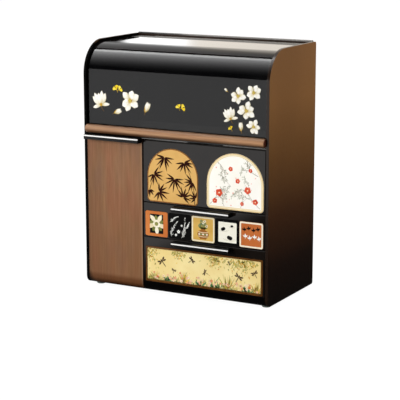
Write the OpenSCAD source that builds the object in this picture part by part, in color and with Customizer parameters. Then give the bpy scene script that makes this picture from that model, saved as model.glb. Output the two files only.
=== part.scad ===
// Cosmetic storage box: a lacquered case with a flip-up smoked lid over an upper compartment,
// a tall pull-out unit on the left and three drawers on the right.
// Inside the modules X runs across the box from its middle, Y runs back from the front edge of
// the side panels and Z runs up from their lower edge.

/* [Case] */
// Width over the two side panels
body_w = 350; // [320:1:400]
// Depth of the side panels
body_d = 179; // [160:1:220]
// Height of the side panels
body_h = 420.3; // [390:0.1:470]
// Thickness of the side panels
panel_t = 5; // [4:0.5:8]
// Radius of the round front top corner
arc_r = 56; // [48:1:66]
// Radius of the round front bottom corner
toe_r = 13; // [10:1:18]
// Radius of the two back corners
heel_r = 4; // [2:0.5:8]
// Thickness of the back panel
back_t = 4; // [3:0.5:6]
// Thickness of the deck and of the bottom board
board_t = 5; // [4:0.5:7]
// Thickness of the partition beside the tall unit
partition_t = 5; // [4:0.5:6]
// Thickness of the two drawer dividers
divider_t = 3; // [2:0.5:4]
// Depth of the grooves that hold the boards
groove_d = 1.5; // [1:0.25:2]
// Clear width of the bay that holds the tall unit
tall_bay_w = 108.5; // [90:0.5:130]
// How far the lid and the top lie inside the outline of the side panels
inset = 4.5; // [4:0.5:9]
// Thickness of the top panel
top_t = 4; // [3:0.5:5]
// Depth of the rail along the top of the back panel
rail_d = 6; // [5:0.5:7.5]
// How far the rail stands above the side panels
rail_rise = 2.2; // [0.5:0.1:4]
// Radius of the rail's ends
rail_end_r = 1.5; // [0.5:0.1:2]

/* [Feet] */
// Height of a foot
foot_h = 5; // [3:0.5:10]
// Diameter of a foot
foot_d = 16; // [12:1:24]
// Distance of a foot's middle from the inner face of a side panel
foot_side = 9; // [9:1:30]
// Distance of a foot's middle from the front and the back
foot_end = 25; // [24:1:50]

/* [Fronts] */
// Thickness of the fronts
front_t = 5; // [4:0.5:6]
// Height of the lower drawer front
lower_front_h = 94.8; // [80:0.1:120]
// Height of the middle drawer front
middle_front_h = 58.4; // [54:0.1:80]
// Height of the upper drawer front
upper_front_h = 104.9; // [104:0.1:130]
// Gap between two fronts
front_gap = 1.2; // [0.8:0.1:2]
// Gap between a front and a side panel
front_side_gap = 0.6; // [0.4:0.1:1]
// How far the drawer fronts cover the deck's edge
front_lap = 3.7; // [2:0.1:4]
// How far the tall front stands above the drawer fronts
tall_rise = 1.6; // [0:0.1:2]
// Radius of the fronts' visible edges
edge_r = 0.8; // [0.4:0.1:1.5]
// Gap between the fronts and the boards behind them
stop_gap = 0.5; // [0.3:0.1:1]

/* [Lid] */
// Thickness of the lid
lid_t = 3; // [2.5:0.5:4]
// Place of the hinge on the round corner, in degrees up from the front
hinge_angle = 52; // [45:1:60]
// Radius of the rolled hinge edge
bead_r = 3.2; // [2.8:0.1:4]
// Distance from the hinge line to the front edge of the top panel
hinge_gap = 4.2; // [4:0.1:6]
// Gap between the lid and a side panel
lid_side_gap = 1; // [0.8:0.1:2]
// Gap between the lid's lower edge and the deck
lid_foot_gap = 1; // [0.6:0.1:2]
// Diameter of the hinge pins
pin_d = 3; // [2:0.1:3.2]
// Depth of a hinge pin in the lid
pin_run = 10; // [8:1:20]
// Depth of a hinge pin in the side panel
pin_seat = 3.5; // [2:0.1:3.5]
// Diameter of the wooden bar
bar_d = 14.5; // [12:0.5:18]
// Depth of the flat on the bar's back
bar_flat = 1.5; // [1:0.1:2.5]
// Height of the bar's middle above the deck
bar_lift = 11; // [9.5:0.1:14]
// Gap between the bar's end and a side panel
bar_side_gap = 1; // [1:0.1:3]
// Bevel on the bar's ends
bar_bevel = 0.8; // [0.3:0.1:1.5]
// Distance of the bar's outer screws from its ends
bar_screw_end = 50; // [20:1:90]
// Size of the rubber stops that the lid closes on: width, depth, height
stop_size = [5, 5, 12];

/* [Pulls] */
// Reach of the pulls in front of the fronts
pull_reach = 14.5; // [12:0.5:18]
// Gap between the ends of the tall unit's pull and the edges of its front
pull_end_gap = 1.6; // [0.1:0.05:3]
// Height of the pulls
pull_h = 8; // [7:0.5:10]
// Wall of the pulls
pull_wall = 2; // [1.5:0.1:3]
// Gap between the top of a pull and the top of its front
pull_drop = 0.5; // [0.2:0.1:2]
// How far the tall unit's pull stands above the top of its front
tall_pull_rise = 1.6; // [0:0.1:2]
// Height of the bright strip
strip_h = 2.2; // [1.8:0.1:4]
// Distance of the bright strip from the top of a drawer's pull
strip_drop = 1.8; // [1:0.1:3]
// Distance of the bright strip from the top of the tall unit's pull
tall_strip_drop = 0.6; // [0.5:0.1:2]
// Thickness of the bright strip
strip_t = 1; // [0.8:0.1:1.5]
// How far the bright strip stands out of its groove
strip_proud = 0.5; // [0.2:0.1:0.7]
// Diameter of the pegs that hold a pull
peg_d = 3; // [2:0.1:4]
// Length of the pegs
peg_len = 3; // [2:0.1:3]
// Distance of the pegs from the pull's ends
peg_end = 18; // [8:1:40]
// Distance of the pegs' middles from the top of the pull
peg_drop = 4.3; // [4:0.1:5]

/* [Trays] */
// Wall of the trays
tray_wall = 2; // [1.5:0.1:3]
// Floor of the trays
tray_floor = 2; // [1.5:0.1:3]
// Radius of the trays' inner corners
tray_r = 4; // [2:0.5:8]
// Gap between a tray and the wall beside it
run_side_gap = 0.8; // [0.5:0.1:1.5]
// Gap between a tray and what it slides on
run_gap = 0.3; // [0.2:0.05:0.5]
// Room above a drawer's tray
head_room = 8; // [4:0.5:12]
// Gap between a tray and the back panel
tray_back_gap = 2; // [1:0.1:4]
// Width of a runner
runner_w = 8; // [5:0.5:12]
// Distance of the runners from the bay's walls
runner_inset = 12; // [8:1:20]
// Height of the tall unit's base tray
tall_tray_h = 58; // [40:1:80]
// Height of the tall unit's shelf above its base
tall_shelf_z = 122; // [100:1:150]
// Height of the shelf's rim
tall_shelf_h = 18; // [12:1:30]
// Height of the tall unit's back plate
tall_back_h = 230; // [200:1:232]
// Thickness of the tall unit's back plate
tall_back_t = 2.5; // [2:0.1:4]
// Width of the finger scoop in the deck
scoop_w = 70; // [50:1:100]
// Depth of the finger scoop in the deck
scoop_d = 16; // [12:1:20]

/* [Inlays] */
// Thickness of the inlays
inlay_t = 1; // [0.8:0.1:1.5]
// Depth of the inlays' pockets
inlay_seat = 0.6; // [0.4:0.1:0.8]
// Gap around an inlay in its pocket
inlay_gap = 0.15; // [0.1:0.05:0.3]
// Share of the two arches' width that the left arch has
left_arch_share = 0.48; // [0.44:0.01:0.5]
// Height of the left arch
left_arch_h = 92; // [80:1:95]
// Distance of the left arch from the left edge of its front
left_arch_x = 8.1; // [5:0.1:10]
// Gap between the two arches
arch_gap = 16.8; // [10:0.1:30]
// Height of the right arch
right_arch_h = 94; // [85:1:98]
// Distance of the right arch from the right edge of its front
right_arch_x = 3; // [2.5:0.1:8]
// Distance of the arches from the lower edge of their front
arch_z = 2; // [1.8:0.1:4]
// Radius of the arches' lower corners
arch_corner_r = 7; // [4:0.5:12]
// Height of a tile
tile_h = 43; // [38:0.5:43]
// Distance of the outer tiles from the ends of their front
tile_edge = 3.45; // [2:0.05:8]
// Gap between two tiles
tile_gap = 1.6; // [1:0.1:1.8]
// Number of tiles
tile_n = 5; // [5:1:5]
// Radius of a tile's corners
tile_r = 3; // [1:0.5:6]
// Distance of the tiles from the lower edge of their front
tile_z = 1.8; // [1.2:0.1:4]
// Distance of the frame round the long picture from the ends of its front
frame_edge = 3.65; // [2.5:0.05:12]
// Height of the frame round the long picture
frame_h = 61; // [50:1:62]
// Border of the frame
frame_border = 3; // [2:0.5:5]
// Radius of the frame's corners
frame_r = 2; // [1.2:0.1:4]
// Distance of the frame from the foot of its front
frame_z = 18.5; // [16:0.5:20]

/* [Fits and screws] */
// Gap round a board in its groove
fit_gap = 0.1; // [0.05:0.01:0.2]
// Radial clearance of the lid on its pins
pin_gap = 0.05; // [0.02:0.01:0.1]
// Diameter of the screws
screw_d = 2.5; // [2:0.1:3]
// Diameter of the screw heads
head_d = 5; // [4:0.1:6]
// Height of the screw heads
head_h = 1.5; // [1:0.1:2]
// Depth of the cross recess in a screw head
recess_h = 0.8; // [0.4:0.1:1]
// Depth of a screw in a front
front_bite = 3; // [2:0.1:3]
// Depth of a screw in the wooden bar
bar_bite = 7; // [4:0.5:8]
// Depth of a screw in a board's edge
board_bite = 9; // [6:0.5:14]
// Distance of the tray screws from the tray's sides, floor and rim
tray_screw_in = 14; // [10:1:16]
// Distance of the outer back screws from the back panel's sides
back_screw_in = 24; // [12:1:50]

/* [Hidden] */
$fn = 96;

// Overlap that makes a cut run clear through a face
cut = 1;

// Walls across the width
inner_x = body_w / 2 - panel_t;
part_x0 = tall_bay_w - inner_x;
part_x1 = part_x0 + partition_t;
seam_x = (part_x0 + part_x1) / 2;
tall_bay_x = [-inner_x, part_x0];
drawer_bay_x = [part_x1, inner_x];
tall_front_x = [-inner_x + front_side_gap, seam_x - front_gap / 2];
drawer_front_x = [seam_x + front_gap / 2, inner_x - front_side_gap];

// Places along the depth
front_y = (pull_reach - body_d) / 2;
back_y = body_d - back_t;
board_y = front_t + stop_gap;
toe_y = toe_r + front_gap;
tray_y = [front_t, back_y - tray_back_gap];
tall_tray_y = [front_t, tray_y[1] - tall_back_t];

// Levels of the fronts, the dividers and the deck
lower_front_z = [0, lower_front_h];
middle_front_z = [lower_front_h + front_gap, lower_front_h + front_gap + middle_front_h];
upper_front_z = [middle_front_z[1] + front_gap, middle_front_z[1] + front_gap + upper_front_h];
tall_front_z = [0, upper_front_z[1] + tall_rise];
tall_pull_top = tall_front_z[1] + tall_pull_rise;
rail_y = body_d - rail_d;
middle_pull_top = middle_front_z[1] - pull_drop;
lower_pull_top = lower_front_z[1] - pull_drop;
low_divider_z = middle_front_z[0] - (front_gap + divider_t) / 2;
high_divider_z = upper_front_z[0] - (front_gap + divider_t) / 2;
deck_z = upper_front_z[1] - front_lap;
deck_top = deck_z + board_t;

// Levels of the trays, which clear the round foot of the fronts
base_z = toe_r + stop_gap;
lower_tray_z = [base_z, low_divider_z - head_room];
middle_tray_z = [low_divider_z + divider_t + run_gap, high_divider_z - head_room];
upper_tray_z = [high_divider_z + divider_t + run_gap, deck_z - head_room];
tall_tray_z = [base_z, base_z + tall_tray_h];
tall_shelf_at = [base_z + tall_shelf_z, base_z + tall_shelf_z + tall_shelf_h];
tall_back_z = [base_z, base_z + tall_back_h];

// Round corner, hinge line and lid
arc_z = body_h - arc_r;
skin_r = arc_r - inset;
hinge_r = skin_r - bead_r;
hinge_y = arc_r - hinge_r * cos(hinge_angle);
hinge_z = arc_z + hinge_r * sin(hinge_angle);
top_angle = hinge_angle + asin(hinge_gap / skin_r);
lid_x = inner_x - lid_side_gap;
lid_z = deck_top + lid_foot_gap;
lid_back_y = inset + lid_t;
bar_x = inner_x - bar_side_gap;
bar_y = inset - bar_d / 2 + bar_flat;
bar_z = deck_top + bar_lift;

// Screw places: each is [x, z]
function tray_spots(x, z) = [
    for (sx = [x[0] + tray_screw_in, x[1] - tray_screw_in])
        for (sz = [z[0] + tray_screw_in, z[1] - tray_screw_in]) [sx, sz]
];
function row_spots(x, z) = [for (sx = [x[0] + tray_screw_in, x[1] - tray_screw_in]) [sx, z]];
function mid(v) = (v[0] + v[1]) / 2;
function span(middle, half) = [middle - half, middle + half];
tall_tray_x = [tall_bay_x[0] + run_side_gap, tall_bay_x[1] - run_side_gap];
drawer_tray_x = [drawer_bay_x[0] + run_side_gap, drawer_bay_x[1] - run_side_gap];
base_spots = row_spots(tall_tray_x, mid(tall_tray_z));
shelf_spots = row_spots(tall_tray_x, mid(tall_shelf_at));
upper_spots = tray_spots(drawer_tray_x, upper_tray_z);
middle_spots = tray_spots(drawer_tray_x, middle_tray_z);
lower_spots = tray_spots(drawer_tray_x, lower_tray_z);
back_screw_x = inner_x - back_screw_in;
deck_spots = [for (x = [-back_screw_x, 0, back_screw_x]) [x, deck_z + board_t / 2]];
partition_spots = [for (share = [1 / 4, 2 / 3]) [seam_x, deck_z * share]];
bar_spots = [for (x = [-bar_x + bar_screw_end, 0, bar_x - bar_screw_end]) [x, bar_z]];

// Inlay sizes and places on their fronts
drawer_front_w = drawer_front_x[1] - drawer_front_x[0];
arches_w = drawer_front_w - left_arch_x - arch_gap - right_arch_x;
left_arch_w = arches_w * left_arch_share;
right_arch_w = arches_w - left_arch_w;
tile_w = (drawer_front_w - 2 * tile_edge - (tile_n - 1) * tile_gap) / tile_n;
frame_w = drawer_front_w - 2 * frame_edge;
left_arch_at = [drawer_front_x[0] + left_arch_x + left_arch_w / 2, upper_front_z[0] + arch_z];
right_arch_at = [drawer_front_x[1] - right_arch_x - right_arch_w / 2, upper_front_z[0] + arch_z];
tile_pitch = tile_w + tile_gap;
tile_mid_z = middle_front_z[0] + tile_z + tile_h / 2;
frame_mid_z = frame_z + frame_h / 2;
function tile_mid_x(i) = mid(drawer_front_x) + (i - (tile_n - 1) / 2) * tile_pitch;

// Basic shapes

module in_case() translate([0, front_y, foot_h]) children();

// A box between two ends on each axis
module block(x, y, z)
    translate([x[0], y[0], z[0]]) cube([x[1] - x[0], y[1] - y[0], z[1] - z[0]]);

// A side view, drawn in Y and Z, run out along X
module along_x(x) translate([x[0], 0, 0]) rotate([90, 0, 90]) linear_extrude(x[1] - x[0]) children();

// A front view, drawn in X and Z, run out along Y
module along_y(y) translate([0, y[1], 0]) rotate([90, 0, 0]) linear_extrude(y[1] - y[0]) children();

// A plan, drawn in X and Y, run out along Z
module along_z(z) translate([0, 0, z[0]]) linear_extrude(z[1] - z[0]) children();

// Round bars along X and along Y
module rod_x(x, y, z, d) translate([x[0], y, z]) rotate([0, 90, 0]) cylinder(h = x[1] - x[0], d = d);
module rod_y(spot, y, d) translate([spot[0], y[0], spot[1]]) rotate([-90, 0, 0]) cylinder(h = y[1] - y[0], d = d);

module mirror_pair() {
    children();
    mirror([1, 0, 0]) children();
}

// Rectangle between two ends on each axis, with round corners
module round_rect(x, y, r) {
    translate([x[0] + r, y[0]]) square([x[1] - x[0] - 2 * r, y[1] - y[0]]);
    translate([x[0], y[0] + r]) square([x[1] - x[0], y[1] - y[0] - 2 * r]);
    for (cx = [x[0] + r, x[1] - r], cy = [y[0] + r, y[1] - r]) translate([cx, cy]) circle(r);
}

// Band between two radii, from one angle to another, counted up from the front
module ring_sector(r_out, r_in, a) {
    intersection() {
        difference() {
            circle(r_out);
            circle(r_in);
        }
        polygon([[0, 0], for (t = a) 2 * r_out * [-cos(t), sin(t)]]);
    }
}

// Side outline of the case, with its large round top, its round foot and its small back corners
module case_outline() {
    translate([0, toe_r]) square([body_d, arc_z - toe_r]);
    translate([toe_r, 0]) square([body_d - toe_r - heel_r, toe_r + cut]);
    translate([arc_r, arc_z - cut]) square([body_d - arc_r - heel_r, arc_r + cut]);
    translate([body_d - heel_r - cut, heel_r]) square([heel_r + cut, body_h - 2 * heel_r]);
    translate([toe_r, toe_r]) circle(toe_r);
    translate([arc_r, arc_z]) circle(arc_r);
    for (z = [heel_r, body_h - heel_r]) translate([body_d - heel_r, z]) circle(heel_r);
}

// Case

module side_panel() {
    board_x = [inner_x - cut, inner_x + groove_d];
    difference() {
        along_x([inner_x, inner_x + panel_t]) case_outline();
        block(board_x, [board_y - fit_gap, back_y], [deck_z - fit_gap, deck_top + fit_gap]);
        block(board_x, [toe_y - fit_gap, back_y], [-cut, board_t + fit_gap]);
        rod_x([inner_x - cut, inner_x + pin_seat], hinge_y, hinge_z, pin_d + 2 * pin_gap);
    }
}

// Holes in the back edge of a board
module board_holes(spots) {
    for (spot = spots) rod_y(spot, [back_y - board_bite, back_y + cut], screw_d + 2 * fit_gap);
}

module divider_groove(x, z) block(x, [board_y - fit_gap, back_y], [z - fit_gap, z + divider_t + fit_gap]);

module left_side_panel() {
    color("#3a2416") in_case() mirror([1, 0, 0]) side_panel();
}

module right_side_panel() {
    color("#5a3a22") in_case() difference() {
        side_panel();
        for (z = [low_divider_z, high_divider_z]) divider_groove([inner_x - cut, inner_x + groove_d], z);
    }
}

// Side view of the rail behind the top panel, with a round top
module rail_profile() {
    low = body_h - inset - top_t;
    spring = body_h + rail_rise - rail_d / 2;
    translate([rail_y, low]) square([rail_d, spring - low]);
    translate([rail_y + rail_d / 2, spring]) circle(rail_d / 2);
}

module back_panel() {
    color("#2a1c14") in_case() difference() {
        intersection() {
            along_x([-inner_x, inner_x]) {
                intersection() {
                    case_outline();
                    translate([back_y, 0]) square([back_t, arc_z]);
                }
                translate([back_y, arc_z - cut]) square([back_t, arc_r + cut - inset / 2]);
                rail_profile();
            }
            along_y([0, body_d + cut]) round_rect([-inner_x, inner_x], [-body_h, body_h + rail_rise], rail_end_r);
        }
        for (spot = concat(deck_spots, partition_spots)) back_screw_hole(spot);
    }
}

module top_panel() {
    color("#241a15") in_case() along_x([-inner_x, inner_x]) {
        translate([arc_r, arc_z]) ring_sector(skin_r, skin_r - top_t, [top_angle, 90]);
        translate([arc_r, body_h - inset - top_t]) square([rail_y - arc_r, top_t]);
    }
}

// The deck's scoop lets a finger pull the upper drawer's front from behind
module deck() {
    scoop_r = (scoop_w * scoop_w / 4 + scoop_d * scoop_d) / (2 * scoop_d);
    end_x = inner_x + groove_d - fit_gap;
    color("#1c1a19") in_case() difference() {
        block([-end_x, end_x], [board_y, back_y], [deck_z, deck_top]);
        translate([mid(drawer_front_x), board_y + scoop_d - scoop_r, deck_z - cut])
            cylinder(h = board_t + 2 * cut, r = scoop_r);
        board_holes(deck_spots);
    }
}

module bottom_board() {
    end_x = inner_x + groove_d - fit_gap;
    color("#1c1a19") in_case() block([-end_x, end_x], [toe_y, back_y], [0, board_t]);
}

module partition() {
    color("#1c1a19") in_case() difference() {
        block([part_x0, part_x1], [board_y, back_y], [board_t, deck_z]);
        block([part_x0 - cut, part_x1 + cut], [0, toe_y], [0, base_z]);
        for (z = [low_divider_z, high_divider_z]) divider_groove([part_x1 - groove_d, part_x1 + cut], z);
        board_holes(partition_spots);
    }
}

module divider(z) {
    x = [part_x1 - groove_d + fit_gap, inner_x + groove_d - fit_gap];
    color("#1c1a19") in_case() block(x, [board_y, back_y], [z, z + divider_t]);
}

module upper_divider() divider(high_divider_z);
module lower_divider() divider(low_divider_z);

// Two runners carry a tray above the round foot of its front
module runners(bay_x) {
    for (x = [bay_x[0] + runner_inset, bay_x[1] - runner_inset - runner_w])
        block([x, x + runner_w], [toe_y, back_y], [board_t, base_z - run_gap]);
}

module tall_runners() color("#d9d6cf") in_case() runners(tall_bay_x);
module lower_runners() color("#d9d6cf") in_case() runners(drawer_bay_x);

module rubber_feet() {
    r = foot_d / 2;
    bevel = foot_h / 4;
    color("#6d746c") in_case()
        for (x = [foot_side - inner_x, inner_x - foot_side], y = [foot_end, body_d - foot_end])
            translate([x, y, -foot_h])
                rotate_extrude() polygon([[0, 0], [r - bevel, 0], [r, bevel], [r, foot_h], [0, foot_h]]);
}

// Countersunk screw through the back panel into the edge of a board
module back_screw(spot) {
    head_y = body_d - head_h;
    translate([spot[0], head_y, spot[1]]) rotate([-90, 0, 0])
        cylinder(h = head_h, d1 = screw_d, d2 = head_d);
    rod_y(spot, [back_y - board_bite + cut, head_y], screw_d);
}

// Cross recess in a screw head
module cross_recess(spot, y) {
    long = head_d * 0.3;
    thin = head_d * 0.08;
    block(span(spot[0], long), y, span(spot[1], thin));
    block(span(spot[0], thin), y, span(spot[1], long));
}

// Its hole, whose cone runs on past the back face
module back_screw_hole(spot) {
    head_y = body_d - head_h;
    past = head_h + cut;
    d = screw_d + 2 * fit_gap;
    translate([spot[0], head_y, spot[1]]) rotate([-90, 0, 0])
        cylinder(h = past, d1 = d, d2 = d + (head_d - screw_d) * past / head_h);
    rod_y(spot, [back_y - cut, body_d], d);
}

module back_screws()
    color("#b9bcc0") in_case() for (spot = concat(deck_spots, partition_spots)) difference() {
        back_screw(spot);
        cross_recess(spot, [body_d - recess_h, body_d + cut]);
    }

module lid_hinge_pins()
    color("#c4c7cb") in_case() mirror_pair()
        rod_x([lid_x - pin_run + cut, inner_x + pin_seat - fit_gap], hinge_y, hinge_z, pin_d);

module lid_hinge_washers()
    color("#e8e4da") in_case() mirror_pair() difference() {
        rod_x([lid_x + fit_gap, inner_x], hinge_y, hinge_z, 2 * bead_r);
        rod_x([lid_x - cut, inner_x + cut], hinge_y, hinge_z, pin_d + 2 * pin_gap);
    }

module lid_stops()
    color("#242424") in_case() mirror_pair()
        translate([inner_x - stop_size[0], lid_back_y + run_gap, lid_z]) cube(stop_size);

// Lid

// One bent sheet: a flat front, the round corner and a rolled edge that turns on the hinge pins
module lid_shell() {
    color("#35353799") in_case() difference() {
        along_x([-lid_x, lid_x]) {
            translate([inset, lid_z]) square([lid_t, arc_z - lid_z]);
            translate([arc_r, arc_z]) ring_sector(skin_r, skin_r - lid_t, [0, hinge_angle]);
            translate([hinge_y, hinge_z]) circle(bead_r);
        }
        mirror_pair() rod_x([lid_x - pin_run, lid_x + cut], hinge_y, hinge_z, pin_d + 2 * pin_gap);
        for (spot = bar_spots) rod_y(spot, [inset - cut, lid_back_y + cut], screw_d + 2 * fit_gap);
    }
}

module lid_handle_bar() {
    r = bar_d / 2;
    color("#b98a68") in_case() difference() {
        translate([-bar_x, bar_y, bar_z]) rotate([0, 90, 0]) rotate_extrude() polygon([
            [0, 0], [r - bar_bevel, 0], [r, bar_bevel],
            [r, 2 * bar_x - bar_bevel], [r - bar_bevel, 2 * bar_x], [0, 2 * bar_x]
        ]);
        block([-bar_x - cut, bar_x + cut], [inset, inset + bar_d], [bar_z - bar_d, bar_z + bar_d]);
        for (spot = bar_spots) rod_y(spot, [inset - bar_bite - cut, inset + cut], screw_d + 2 * fit_gap);
    }
}

module lid_handle_screws()
    color("#b9bcc0") in_case() for (spot = bar_spots) screw(spot, lid_back_y, inset - bar_bite);

// Fronts, trays, pulls and screws

// Screw along Y, with its head behind the seat and its tip in front of it
module screw(spot, seat, tip) {
    face = seat + head_h;
    difference() {
        union() {
            rod_y(spot, [tip, seat], screw_d);
            rod_y(spot, [seat, face], head_d);
        }
        cross_recess(spot, [face - recess_h, face + cut]);
    }
}

// Side view of a plain front with round edges
module flat_profile(z) {
    translate([edge_r, z[0]]) square([front_t - edge_r, z[1] - z[0]]);
    translate([0, z[0] + edge_r]) square([front_t, z[1] - z[0] - 2 * edge_r]);
    for (cz = [z[0] + edge_r, z[1] - edge_r]) translate([edge_r, cz]) circle(edge_r);
}

// Side view of a front whose foot curls back under the case
module curled_profile(z) {
    translate([edge_r, toe_r]) square([front_t - edge_r, z[1] - toe_r]);
    translate([0, toe_r]) square([front_t, z[1] - toe_r - edge_r]);
    translate([edge_r, z[1] - edge_r]) circle(edge_r);
    translate([toe_r, toe_r]) ring_sector(toe_r, toe_r - front_t, [-90, 0]);
}

// Plan that rounds the upright edges of a front
module front_plan(x) {
    translate([x[0] + edge_r, 0]) square([x[1] - x[0] - 2 * edge_r, toe_r]);
    translate([x[0], edge_r]) square([x[1] - x[0], toe_r - edge_r]);
    for (cx = [x[0] + edge_r, x[1] - edge_r]) translate([cx, edge_r]) circle(edge_r);
}

module flat_front(x, z) {
    intersection() {
        along_x(x) flat_profile(z);
        along_z([z[0] - cut, z[1] + cut]) front_plan(x);
    }
}

module curled_front(x, z) {
    intersection() {
        along_x(x) curled_profile(z);
        along_z([z[0] - cut, z[1] + cut]) front_plan(x);
    }
}

module screw_holes(spots) {
    for (spot = spots)
        rod_y(spot, [front_t - front_bite - fit_gap, front_t + tray_wall + cut], screw_d + 2 * fit_gap);
}

module screws(spots) {
    for (spot = spots) screw(spot, front_t + tray_wall, front_t - front_bite);
}

// Open tray with round corners
module tray(x, y, z) {
    w = tray_wall;
    difference() {
        along_z(z) round_rect(x, y, tray_r - w / 2);
        along_z([z[0] + tray_floor, z[1] + cut]) round_rect(x + [w, -w], y + [w, -w], tray_r);
    }
}

// Where a pull ends across the width, and the places of its pegs
pull_len = tall_front_x[1] - tall_front_x[0] - 2 * pull_end_gap;
function pull_x(front_x) = span(mid(front_x), pull_len / 2);
function peg_spots(front_x, top_z) = [
    for (x = pull_x(front_x) + [peg_end, -peg_end]) [x, top_z - peg_drop]
];

module peg_holes(front_x, top_z) {
    for (spot = peg_spots(front_x, top_z))
        rod_y(spot, [-cut, peg_len + fit_gap], peg_d + 2 * fit_gap);
}

// Lip pull: hollow from below for the fingers, with a groove for the bright strip and two pegs
module pull(front_x, top_z, drop) {
    x = pull_x(front_x);
    y = [strip_proud - pull_reach, 0];
    z = [top_z - pull_h, top_z];
    groove_z = [top_z - drop - strip_h, top_z - drop];
    boss_d = peg_d + 2 * pull_wall;
    difference() {
        block(x, y, z);
        block(x + [pull_wall, -pull_wall], [y[0] + strip_t + pull_wall, cut], [z[0] - cut, z[1] - pull_wall]);
        block([x[0] - cut, x[1] + cut], [y[0] - cut, y[0] + strip_t - strip_proud], groove_z);
    }
    for (spot = peg_spots(front_x, top_z)) intersection() {
        union() {
            rod_y(spot, [-pull_wall, peg_len], peg_d);
            rod_y(spot, [-pull_wall, 0], boss_d);
        }
        block(x, [-pull_wall, peg_len], z);
    }
}

module pull_strip(front_x, top_z, drop) {
    x = pull_x(front_x);
    block(x, [-pull_reach, strip_t - pull_reach], [top_z - drop - strip_h, top_z - drop]);
}

// Outlines of the inlays, with a gap for their pockets
module arch(at, w, h, gap) {
    r = w / 2 + gap;
    low = at[1] - gap;
    spring = at[1] + h - w / 2;
    translate([at[0], spring]) intersection() {
        circle(r);
        translate([-r - cut, -cut]) square([2 * (r + cut), r + 2 * cut]);
    }
    translate([at[0] - r, low + arch_corner_r]) square([2 * r, spring - low - arch_corner_r]);
    translate([at[0] - r + arch_corner_r, low]) square([2 * (r - arch_corner_r), arch_corner_r + cut]);
    for (side = [-1, 1])
        translate([at[0] + side * (r - arch_corner_r), low + arch_corner_r]) circle(arch_corner_r);
}

module left_arch(gap) arch(left_arch_at, left_arch_w, left_arch_h, gap);
module right_arch(gap) arch(right_arch_at, right_arch_w, right_arch_h, gap);

module tile_outline(i, gap) {
    round_rect(span(tile_mid_x(i), tile_w / 2 + gap), span(tile_mid_z, tile_h / 2 + gap), tile_r);
}

module frame_outline(grow) {
    half_w = frame_w / 2 + grow;
    half_h = frame_h / 2 + grow;
    round_rect(span(mid(drawer_front_x), half_w), span(frame_mid_z, half_h), frame_r);
}

module picture_outline(grow) {
    half_w = frame_w / 2 - frame_border + grow;
    half_h = frame_h / 2 - frame_border + grow;
    round_rect(span(mid(drawer_front_x), half_w), span(frame_mid_z, half_h), frame_r);
}

module pocket() along_y([-cut, inlay_seat]) children();
module inlay() along_y([inlay_seat - inlay_t, inlay_seat]) children();

// Tall pull-out unit

module tall_front() {
    color("#8c6a50") in_case() difference() {
        curled_front(tall_front_x, tall_front_z);
        screw_holes(concat(base_spots, shelf_spots));
        peg_holes(tall_front_x, tall_pull_top);
    }
}

// Holes through both ends of a tray that hangs between the tall front and the back plate
module tall_tray_holes(spots) {
    screw_holes(spots);
    for (spot = spots)
        rod_y(spot, [tall_tray_y[1] - tray_wall - cut, tray_y[1] + cut], screw_d + 2 * fit_gap);
}

module tall_base_tray() {
    color("#262423") in_case() difference() {
        tray(tall_tray_x, tall_tray_y, tall_tray_z);
        tall_tray_holes(base_spots);
    }
}

module tall_shelf_tray() {
    color("#262423") in_case() difference() {
        tray(tall_tray_x, tall_tray_y, tall_shelf_at);
        tall_tray_holes(shelf_spots);
    }
}

module tall_back_plate() {
    color("#262423") in_case() difference() {
        along_y([tall_tray_y[1], tray_y[1]]) round_rect(tall_tray_x, tall_back_z, tray_r);
        tall_tray_holes(concat(base_spots, shelf_spots));
    }
}

// The rear screws pass through a tray's back wall into the back plate
module tall_screws() {
    seat = tall_tray_y[1] - tray_wall;
    color("#b9bcc0") in_case() {
        screws(concat(base_spots, shelf_spots));
        for (spot = concat(base_spots, shelf_spots)) difference() {
            union() {
                rod_y(spot, [seat, tray_y[1]], screw_d);
                rod_y(spot, [seat - head_h, seat], head_d);
            }
            cross_recess(spot, [seat - head_h - cut, seat - head_h + recess_h]);
        }
    }
}

module tall_pull() color("#191919") in_case() pull(tall_front_x, tall_pull_top, tall_strip_drop);
module tall_pull_strip()
    color("#e6e6e6") in_case() pull_strip(tall_front_x, tall_pull_top, tall_strip_drop);

// Upper drawer

module upper_front() {
    color("#232322") in_case() difference() {
        flat_front(drawer_front_x, upper_front_z);
        pocket() left_arch(inlay_gap);
        pocket() right_arch(inlay_gap);
        screw_holes(upper_spots);
    }
}

module upper_tray() {
    color("#262423") in_case() difference() {
        tray(drawer_tray_x, tray_y, upper_tray_z);
        screw_holes(upper_spots);
    }
}

module upper_screws() color("#b9bcc0") in_case() screws(upper_spots);
module left_arch_inlay() color("#cda55f") in_case() inlay() left_arch(0);
module right_arch_inlay() color("#f6f2e4") in_case() inlay() right_arch(0);

// Middle drawer

module middle_front() {
    color("#232322") in_case() difference() {
        flat_front(drawer_front_x, middle_front_z);
        for (i = [0 : tile_n - 1]) pocket() tile_outline(i, inlay_gap);
        screw_holes(middle_spots);
        peg_holes(drawer_front_x, middle_pull_top);
    }
}

module middle_tray() {
    color("#262423") in_case() difference() {
        tray(drawer_tray_x, tray_y, middle_tray_z);
        screw_holes(middle_spots);
    }
}

module middle_screws() color("#b9bcc0") in_case() screws(middle_spots);
module middle_pull() color("#191919") in_case() pull(drawer_front_x, middle_pull_top, strip_drop);
module middle_pull_strip()
    color("#e6e6e6") in_case() pull_strip(drawer_front_x, middle_pull_top, strip_drop);
module tile(i, tint) color(tint) in_case() inlay() tile_outline(i, 0);

// Lower drawer

module lower_front() {
    color("#232322") in_case() difference() {
        curled_front(drawer_front_x, lower_front_z);
        pocket() frame_outline(inlay_gap);
        screw_holes(lower_spots);
        peg_holes(drawer_front_x, lower_pull_top);
    }
}

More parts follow.
